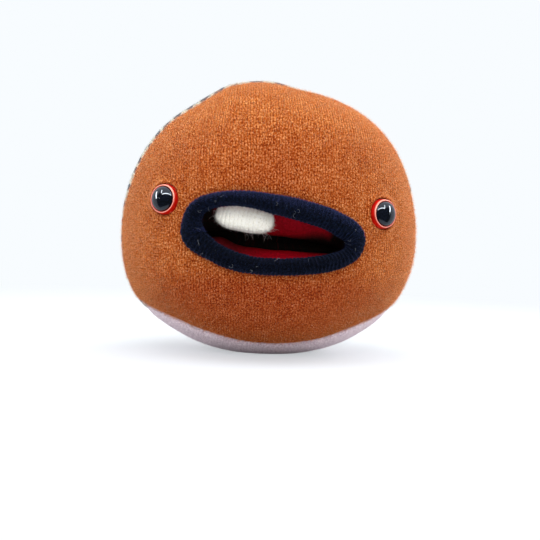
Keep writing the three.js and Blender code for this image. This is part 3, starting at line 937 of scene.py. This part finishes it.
# Lip
def lip_frame(angle):
    """The lip's middle, the ways out of the face and across, and its width in shares, round the mouth."""
    step = 0.002
    middle = lip_middle(angle)
    out = body_normal(middle)
    across = unit(np.cross(lip_middle(angle + step) - lip_middle(angle - step), out))
    along, up = mouth_outline(LIP_HALF_WIDTH, LIP_HALF_TALL, angle)
    right, low = along / LIP_HALF_WIDTH, -up / LIP_HALF_TALL
    lean = np.maximum(-low, 0) * right
    thinner = LIP_THINNER * smooth(0, 0.6, low)
    broader = LIP_BROADER * smooth(0.7, 1, -right)
    fuller = LIP_FULLER * (smooth(0.2, 0.6, -right) + smooth(0.65, 0.9, -right)) * smooth(-0.1, 0.4, low)
    swell = np.where(lean > 0, LIP_SWELL, LIP_THINNING) * lean
    shift = np.where(lean > 0, 0, -swell) * 0.35 + (thinner + broader) * 0.5
    middle = middle + across * (shift * LIP_WIDTH)[:, None]
    return middle, out, across, 1 + swell - thinner + broader + fuller


def build_lip():
    steps, around = 900, 96
    fine = np.linspace(0, TURN, 4000)
    lengths = run_along(lip_middle(fine))
    perimeter = lengths[-1]
    run = np.arange(steps) / steps * perimeter
    angle = np.interp(run, lengths, fine)
    middle, out, across, swell = lip_frame(angle)
    run, section = np.meshgrid(run, full_turn(around), indexing="ij")
    girth = section * LIP_WIDTH / 2
    place = joined(run * 0.5, girth, 0)
    turns = run / perimeter * round(perimeter / RIB_PITCH) + 0.3 * lumps(place, 5, 21)
    ridge = np.abs(np.cos(math.pi * turns)) ** 0.7
    stitch = np.abs(np.cos(math.pi * (girth / 1.3 + turns)))
    rise = RIB_HEIGHT * (ridge - 1) + 0.1 * (stitch - 0.5) * ridge
    rise += 0.25 * lumps(place, 5, 22) + 0.14 * lumps(place, 1.3, 23)
    wide = (LIP_WIDTH / 2 * swell)[:, None] + rise
    grid = middle[:, None] + across[:, None] * (wide * np.cos(section))[..., None]
    grid = grid + out[:, None] * ((LIP_DEPTH / 2 + rise) * np.sin(section))[..., None]
    faces = grid_faces(steps, around, close_rows=True, close_columns=True)
    # Painted shade on the lower half of the lip, carried by its tint.
    low = smooth(0, 0.7, -mouth_outline(LIP_HALF_WIDTH, LIP_HALF_TALL, angle)[1] / LIP_HALF_TALL)
    lip = make_piece("lip_cover", grid, [faces], joined(turns * RIB_PITCH, girth, 0),
                     np.broadcast_to(0.45 * low[:, None], run.shape))
    dress(lip, "monster", "lip_knit", lip_knit, "mouth_lip", "lip_filler")

    random = np.random.default_rng(31)
    normal = unit(grid - middle[:, None])
    visible = np.flatnonzero(normal[..., 1] < 0.35)
    facing_up = np.clip(normal[..., 2], 0, 1) * (grid[..., 2] > MOUTH_HEIGHT)
    upper = facing_up.ravel()[visible]
    chosen = visible[random.choice(len(visible), 14000)]
    strew(strands, "lip_fuzz", ("monster", "lip_knit", lip_fuzz), grid, normal, chosen,
          1.5, 0.055, random, (0.2, 1.2))
    # The paler fibres stand mostly where the lip faces up, as a painted highlight.
    chosen = visible[random.choice(len(visible), 13000, p=upper / upper.sum())]
    strew(strands, "lip_bloom", ("monster", "lip_knit", lip_bloom), grid, normal, chosen,
          1.4, 0.05, random, (0.2, 1.2))
    chosen = visible[random.choice(len(visible), 48)]
    strew(curls, "lip_lint", ("monster", "lip_knit", lint), grid, normal, chosen,
          4.2, 0.09, random, stand=0.25, turn=3.5, steps=10)


# Pocket lining
def pocket_size(depth):
    """Half the pocket's width and height at a depth, and how far it has dropped."""
    inward = smooth(THROAT_START, THROAT_END, depth)
    half_tall = (LIP_HALF_TALL - POCKET_INSET) * (1 - inward) + THROAT_TALL / 2 * inward
    half_width = (LIP_HALF_WIDTH - POCKET_INSET) * (1 - POCKET_NARROWING * (depth / POCKET_DEPTH) ** 2)
    return half_width, half_tall, THROAT_DROP * inward


def pocket_ring(depth, grow, angle):
    half_width, half_tall, drop = pocket_size(np.maximum(depth, 0))
    return mouth_place(*mouth_outline(half_width + grow, half_tall + grow, angle, drop))


POCKET_EDGE = float(face_depth(MOUTH_ASIDE, MOUTH_HEIGHT)) + LIP_DEPTH / 2


def painted_pocket_shade(roof, wide, depth):
    """Painted shade in the pocket: how dark it is drawn, most of all down the throat and at its two ends."""
    if roof:
        onset, soft, left_from = 20 - 6.5 * smooth(0.05, 0.65, wide) - 12 * smooth(0.3, 0.6, -wide), 9, 3
        least = 0.3
    else:
        onset, soft, left_from = 23 - 4 * smooth(0.2, 0.7, wide), 6, -2
        least = 0.72 * (1 - smooth(-0.5, 0.1, wide))
    throat = smooth(onset, onset + soft, depth)
    right_end = smooth(0.6, 0.8, wide) * smooth(-2, 4, depth)
    left_end = smooth(0.68, 0.8, -wide) * smooth(left_from, left_from + 6, depth)
    return np.max(np.broadcast_arrays(throat, right_end, left_end, least), axis=0)


def build_lining(name, first_angle, node_name):
    """Half of the pocket, from one side seam to the other, closed at its back and given its thickness."""
    columns, rows = 160, 90
    roof = first_angle == 0
    angle = first_angle + np.linspace(0, math.pi, columns)
    start = face_depth(*pocket_ring(0.0, 0.0, angle)) + 0.25 * LIP_DEPTH - POCKET_EDGE
    share = np.linspace(0, 1, rows)[:, None]
    depth = start + share * (POCKET_DEPTH - start)
    front = pocket_ring(depth, 0.0, angle)
    seam = pocket_ring(np.full(columns, POCKET_DEPTH), -(THROAT_TALL / 2 + 0.15), angle)
    closing = np.linspace(1, 0, 9)[1:, None]
    x, z = (np.concatenate([open_rows, open_rows[-1:] * closing + end * (1 - closing)])
            for open_rows, end in zip(front, seam))
    share = np.concatenate([share, np.ones_like(closing)])
    depth = np.concatenate([depth, np.broadcast_to(depth[-1:], (len(closing), columns))])
    open_part = depth < POCKET_DEPTH
    rows = len(depth)
    inner = joined(x, POCKET_EDGE + depth, z)
    middle_x, middle_z = mouth_place(0, -THROAT_DROP * smooth(THROAT_START, THROAT_END, depth))
    away = unit(inner - joined(middle_x, inner[..., 1], middle_z))
    folds = 0.25 * np.sin(angle * 15 + 2 * lumps(inner, 12, 41)) * smooth(0, 0.3, share)
    inner = inner + away * (folds * open_part)[..., None]
    if not roof:
        inner[..., 2] += RUCK * bell(inner[..., 0], RUCK_ASIDE, 6) * smooth(4, 22, depth) * open_part
    outer = inner + np.where(open_part[..., None], away, (0, 1, 0)) * LINING
    knit = joined(angle * 24, depth, 0)
    left = np.arange(2 * rows) * columns
    faces = [grid_faces(2 * rows, columns, close_rows=True)]
    for edge, order in ((left, -1), (left + columns - 1, 1)):
        mirrored = edge[::-1]
        quads = joined(edge[: rows - 1], edge[1:rows], mirrored[1:rows], mirrored[: rows - 1])
        faces.append(quads[:, ::order])
    # The painted shade is carried by the lining's tint.
    dark = painted_pocket_shade(roof, np.cos(angle), depth)
    both = [np.concatenate([part, back[::-1]]) for part, back in ((inner, outer), (knit, knit), (dark, dark))]
    dress(make_piece(name, both[0], faces, *both[1:]), "monster", "lining_knit", lining, node_name)


# Tooth
def build_tooth():
    hinge, axis = joint_place("tooth_flap")
    along = -axis
    inward = np.cross((0, 0, 1), unit(along * (1, 1, 0)))
    up = np.cross(along, inward)
    steps, around = 190, 84
    end = np.linspace(-math.pi / 2, math.pi / 2, steps + 2)[1:-1]
    end, turn = np.meshgrid(end, full_turn(around), indexing="ij")
    slim = np.cos(end) ** (2 / TOOTH_SQUARENESS)
    length = TOOTH_LENGTH / 2 * signed_power(np.sin(end), 2 / TOOTH_SQUARENESS)
    fattest = (1 - math.sqrt(1 + 8 * TOOTH_TAPER ** 2)) / (4 * TOOTH_TAPER)
    drop_width = math.sqrt(1 - fattest ** 2) * (1 - TOOTH_TAPER * fattest)
    drop = np.cos(turn) * (1 - TOOTH_TAPER * np.sin(turn)) / drop_width
    place = joined(length, slim * np.sin(turn) * TOOTH_TALL / 2, slim * drop * TOOTH_THICKNESS / 2)
    looser = smooth(-4, 3, length)
    phase = length / TOOTH_RIB_PITCH + (0.3 + 0.45 * looser) * lumps(place, 4, 51)
    ridge = np.abs(np.cos(math.pi * phase)) ** 0.8
    aside = np.abs(phase - np.round(phase))
    leg = place[..., 1] / TOOTH_STITCH + 1.6 * aside + 0.5 * lumps(place, 3, 54)
    vee = np.abs(np.cos(math.pi * leg))
    bolder = 0.7 + 0.55 * lumps(place * [1, 0.2, 0.2], 4.5, 57)
    rise = TOOTH_RIB_HEIGHT * (ridge - 1) * bolder + 0.35 * (vee - 0.5) * (0.35 + 0.65 * looser)
    rise = (rise + 0.2 * lumps(place, 4, 52)) * smooth(0, 0.35, slim)
    tall = (TOOTH_TALL / 2 + rise) * slim * np.sin(turn) - TOOTH_TALL / 2
    thick = (TOOTH_THICKNESS / 2 + rise) * slim * drop
    grid = hinge + along * (length + TOOTH_ASIDE)[..., None] + inward * thick[..., None]
    grid = grid + up * tall[..., None]
    points = np.concatenate([grid.reshape(-1, 3), grid[[0, -1]].mean(axis=1)])
    knit = joined((phase + 0.5) * TOOTH_RIB_PITCH, place[..., 1], 0)
    knit = np.concatenate([knit.reshape(-1, 3), [[-TOOTH_LENGTH / 2, 0, 0], [TOOTH_LENGTH / 2, 0, 0]]])
    total = steps * around
    faces = [grid_faces(steps, around, close_columns=True),
             fan_faces(np.arange(around), total, flip=True),
             fan_faces(total - around + np.arange(around), total + 1)]
    tooth = make_piece("tooth_knit", points, faces, knit)
    dress(tooth, "tooth", "tooth_knit", tooth_knit, "tooth_cover", "tooth_fill")

    random = np.random.default_rng(53)
    look = ("tooth", "tooth_knit", tooth_fuzz)
    normal = unit(grid - grid.mean(axis=1, keepdims=True))
    chosen = random.choice(total, 5200)
    strew(strands, "tooth_fuzz", look, grid, normal, chosen, 1.4, 0.04, random, (0.1, 0.9))
    under = (up @ normal.reshape(-1, 3).T) < -0.7
    chosen = random.choice(np.flatnonzero(under), 1300)
    strew(strands, "tooth_fluff", look, grid, normal, chosen, 2.6, 0.035, random, (0, 0.7))
    low = np.flatnonzero(under & (np.abs(length.ravel() - 4.5) < 8))
    chosen = np.concatenate([random.choice(low, 48), random.choice(around * 12, 10)])
    strew(curls, "tooth_strays", look, grid, normal, chosen, 8.6, 0.05, random,
          stand=0.15, turn=2.4, steps=14, spread=(0.5, 1, 1))


# Eyes
def arc(centre, radii, from_angle, to_angle, steps):
    angle = np.linspace(from_angle, to_angle, steps)
    return np.array(centre) + np.array(radii) * np.stack([np.cos(angle), np.sin(angle)], -1)


def turned(name, profile, place, axis, segments=96, tint=None):
    """A closed profile of radius and height is turned about the axis through place."""
    side = Vector((-axis[1], axis[0], 0)).normalized()
    other = Vector(axis).cross(side)
    angle = full_turn(segments)[:, None]
    around = np.cos(angle) * np.array(side) + np.sin(angle) * np.array(other)
    grid = place + profile[:, None, 1:2] * axis + profile[:, None, 0:1] * around
    faces = [grid_faces(len(profile), segments, close_rows=True, close_columns=True)]
    if tint is not None:
        # The tint is a painted highlight: along the rim's crest, and wider on the bevel's side toward the
        # lights above.
        wear_and_highlight, bevel_highlight, above = tint
        tint = np.clip(wear_and_highlight[:, None] + bevel_highlight[:, None] * np.clip(around @ above, 0, 1) ** 2, 0, 1)
    return make_piece(name, grid, faces, tint=tint)


def build_eye(side):
    place, axis = EYES[side]
    quarter = math.pi / 2
    tiny, round_edge = 0.02, 0.5
    bottom = CUP_BOTTOM + CUP_FLOOR + TOUCHING
    dome = np.concatenate([
        arc((0, bottom - SHANK_LENGTH + round_edge), (SHANK_RADIUS, round_edge), -quarter, 0, 6),
        [(SHANK_RADIUS, bottom - tiny), (DOME_RADIUS - tiny, bottom)],
        arc((0, CUP_HEIGHT), (DOME_RADIUS, DOME_RISE), 0, quarter, 28),
    ])
    dome[[0, -1], 0] = tiny
    made = turned(f"eye_dome_{side}_smooth", dome, place, axis)
    dress(made, side + "_eye", "eye_black", eye_black, "eye_dome_" + side)
    bore, hole = DOME_RADIUS + 0.08, SHANK_RADIUS + 0.5
    rim = (CUP_RIM_RADIUS - bore) / 2
    cup = np.concatenate([
        [(hole, CUP_BOTTOM)],
        arc((CUP_BASE_RADIUS - CUP_ROUNDING, CUP_BOTTOM + CUP_ROUNDING), CUP_ROUNDING, -quarter, 0, 6),
        [(CUP_RIM_RADIUS + 0.06, CUP_HEIGHT - CUP_ROUNDING)],
        arc((bore + rim, CUP_HEIGHT - 0.05), (rim, 0.5), 0, 2 * quarter, 14),
        [(bore, CUP_BOTTOM + CUP_FLOOR), (hole, CUP_BOTTOM + CUP_FLOOR)],
    ])
    # Painted highlight on the rim: a pale band along its crest, and a wider band on the bevel's side toward
    # the face's middle and up.
    crest = np.linspace(0, 1, 14)
    wear_and_highlight = np.concatenate([np.zeros(8), bell(crest, 0.43, 0.14), [0.1, 0.05]])
    bevel_highlight = np.concatenate([np.zeros(8), bell(crest, 0.25, 0.4), [0, 0]])
    above = unit(np.array([-0.75 * np.sign(place[0]), 0, 0.65]))
    made = turned(f"eye_cup_{side}_smooth", cup, place, axis, tint=(wear_and_highlight, bevel_highlight, above))
    dress(made, side + "_eye", "eye_red", eye_red, "eye_cup_" + side)
    washer = frame["nodes"]["eye_washer_" + side]
    washer.data.materials.clear()
    washer.data.materials.append(washer_white)


# Filling: the body's own filling, fluffed over its node's shape
def clear_of_pocket(points, gap):
    """Points in the pocket, or less than the gap from it, are moved out of it."""
    x, z = points[:, 0] - MOUTH_ASIDE, points[:, 2] - MOUTH_HEIGHT
    depth = points[:, 1] - POCKET_EDGE
    half_width, half_tall, drop = pocket_size(depth)
    along = x * math.cos(MOUTH_TILT) - z * math.sin(MOUTH_TILT)
    up = x * math.sin(MOUTH_TILT) + z * math.cos(MOUTH_TILT) + drop
    blunt = 1 - MOUTH_BLUNTNESS * np.clip(along / half_width, -1, 1)
    across, tall = half_width + gap, half_tall * blunt + gap
    level = np.abs(along / across) ** MOUTH_SQUARENESS + np.abs(up / tall) ** MOUTH_SQUARENESS
    inside = (level < 1) & (depth < POCKET_DEPTH + gap)
    behind = inside & (depth > POCKET_DEPTH - 1)
    out = np.where(inside & ~behind, np.maximum(level, 1e-3) ** (-1 / MOUTH_SQUARENESS) - 1, 0)
    out_x, out_z = mouth_place(along, up)
    moved = points + out[:, None] * joined(out_x - MOUTH_ASIDE, 0, out_z - MOUTH_HEIGHT)
    moved[behind, 1] = POCKET_EDGE + POCKET_DEPTH + gap
    return moved


def build_filling():
    fill = link("loose_filling", frame["nodes"]["fibre_fill"].data.copy())
    fill.data.materials.clear()
    remesh = fill.modifiers.new("even", "REMESH")
    remesh.mode = "VOXEL"
    remesh.voxel_size = 2.2 * MM
    fill.modifiers.new("relax", "SMOOTH").iterations = 3
    bpy.context.view_layer.update()
    evened = bpy.data.meshes.new_from_object(fill.evaluated_get(bpy.context.evaluated_depsgraph_get()))
    fill.modifiers.clear()
    fill.data = evened
    points, normals = np.zeros((2, len(evened.vertices), 3))
    evened.vertices.foreach_get("co", points.ravel())
    evened.vertices.foreach_get("normal", normals.ravel())
    points = points / MM
    points -= normals * (0.35 + 0.3 * lumps(points, 3.5, 61))[:, None]
    points = clear_of_pocket(points, LINING + 0.7)
    evened.vertices.foreach_set("co", points.ravel() * MM)
    evened.shade_smooth()
    evened.update()
    dress(fill, "monster", "stuffing", stuffing, "fibre_fill")


# Studio
WHITE = srgb(248, 252, 255)
FLOOR_REACH = 6000
FLOOR_FADE = (100, 500)
WINDOW_DISTANCE = 1.2
WINDOW_BRIGHTNESS = 17


def seen_directly(tree):
    """1 for rays from the camera, and for those that gloss and glass send on."""
    path = node(tree, "LightPath").outputs
    camera, clear, gloss = (Value(path[f"Is {kind} Ray"]) for kind in ("Camera", "Transmission", "Glossy"))
    return calc("MAXIMUM", calc("MAXIMUM", camera, clear), gloss)


def between(tree, value, low, high):
    inputs = {"Value": value, "From Min": low, "From Max": high}
    return Value(node(tree, "MapRange", inputs, interpolation_type="SMOOTHSTEP").outputs[0])


def build_stage():
    material = bpy.data.materials.new("studio_floor")
    material.use_nodes = True
    tree = material.node_tree
    tree.nodes.clear()
    diffuse = node(tree, "BsdfDiffuse", {"Color": srgb(222, 224, 228)})
    glow = node(tree, "Emission", {"Color": WHITE, "Strength": 1})
    reach = node(tree, "VectorMath", {0: object_place(tree)}, operation="LENGTH").outputs["Value"]
    share = (between(tree, reach, *FLOOR_FADE) * 0.5 + 0.5) * seen_directly(tree)
    mixed = node(tree, "MixShader", {0: share, 1: diffuse.outputs[0], 2: glow.outputs[0]})
    node(tree, "OutputMaterial", {0: mixed.outputs[0]})
    corners = np.array([[-1, -1, 0], [1, -1, 0], [1, 1, 0], [-1, 1, 0]]) * FLOOR_REACH
    floor = make_piece("floor", corners, [np.array([[0, 1, 2, 3]])])
    floor.data.materials.append(material)
    floor.visible_glossy = False

    world = bpy.data.worlds.new("studio")
    bpy.context.scene.world = world
    world.use_nodes = True
    tree = world.node_tree
    tree.nodes.clear()
    _, back, up = split(tree, node(tree, "TexCoord").outputs["Generated"])
    ahead = between(tree, back * -1, 0.08, 0.24)
    dark = ahead * (1 - between(tree, up, 0.5, 0.58)) * between(tree, up, -0.72, -0.62)
    strength = (calc("MAXIMUM", up, 0) * 0.45 + 0.62) * (1 - dark * 0.9)
    soft = node(tree, "Background", {"Color": srgb(246, 248, 255), "Strength": strength})
    backdrop = node(tree, "Background", {"Color": WHITE, "Strength": 1})
    seen = node(tree, "LightPath").outputs["Is Camera Ray"]
    mixed = node(tree, "MixShader", {0: seen, 1: soft.outputs[0], 2: backdrop.outputs[0]})
    node(tree, "OutputWorld", {0: mixed.outputs[0]})


def area_light(name, place, target, size, power):
    data = bpy.data.lights.new(name, "AREA")
    data.shape = "RECTANGLE"
    data.size, data.size_y = size
    data.energy = power
    lamp = link(name, data)
    lamp.location = place
    lamp.rotation_euler = (target - Vector(place)).to_track_quat("-Z", "Y").to_euler()
    return lamp


def heading(turn, rise):
    """The way that leads this many degrees round from the front, and up."""
    turn, rise = math.radians(turn), math.radians(rise)
    level = math.cos(rise)
    return Vector((level * math.sin(turn), -level * math.cos(turn), math.sin(rise)))


def build_lights():
    """Soft lamps above and in front, and the bars of a bright window that only shine in the eyes."""
    middle = Vector((0, 0, 0.07))
    for name, place, size, power in (("top_softbox", (0, -0.2, 1.0), (1.3, 0.8), 9),
                                     ("front_fill", (-0.1, -1.3, 0.6), (1.4, 0.9), 10),
                                     ("rim_right", (0.9, 0.6, 0.3), (0.7, 0.9), 14),
                                     ("rim_left", (-0.9, 0.55, 0.3), (0.7, 0.9), 5)):
        area_light(name, place, middle, size, power).visible_glossy = False
    bars = {"window_bar": ((-54, 27), (46, 30), 0.085), "window_post_left": ((-60, 31), (-76, 50), 0.08),
            "window_post_right": ((45, 33), (57, 54), 0.08), "window_side_left": ((-82, 6), (-102, 30), 0.12),
            "window_side_right": ((73, 10), (92, 34), 0.12)}
    for name, (*corners, wide) in bars.items():
        ends = [middle + heading(*corner) * WINDOW_DISTANCE for corner in corners]
        place, along = (ends[0] + ends[1]) / 2, ends[1] - ends[0]
        out = (place - middle).normalized()
        tall = along.length
        along = (along - out * along.dot(out)).normalized()
        bar = area_light(name, place, middle, (wide, tall), WINDOW_BRIGHTNESS * math.pi * wide * tall)
        bar.rotation_euler = Matrix((along.cross(out), along, out)).transposed().to_euler()
        bar.visible_diffuse = False


def build_camera():
    data = bpy.data.cameras.new("camera")
    data.lens = CAMERA_LENS
    data.sensor_width = 36
    data.clip_start = 0.01
    camera = link("camera", data)
    back = heading(CAMERA_AZIMUTH, CAMERA_ELEVATION)
    camera.location = (CAMERA_TARGET + back * CAMERA_DISTANCE) * MM
    camera.rotation_mode = "QUATERNION"
    camera.rotation_quaternion = (-back).to_track_quat("-Z", "Y") @ Quaternion((0, 0, 1), CAMERA_ROLL)
    bpy.context.scene.camera = camera


build_camera()
build_stage()
build_lights()
build_cover()
build_seam_threads()
build_lip()
build_lining("lining_roof", 0, "mouth_lining_upper")
build_lining("lining_floor", math.pi, "mouth_lining_lower")
build_tooth()
for eye_side in EYES:
    build_eye(eye_side)
build_filling()

bpy.context.scene.view_settings.view_transform = "Standard"
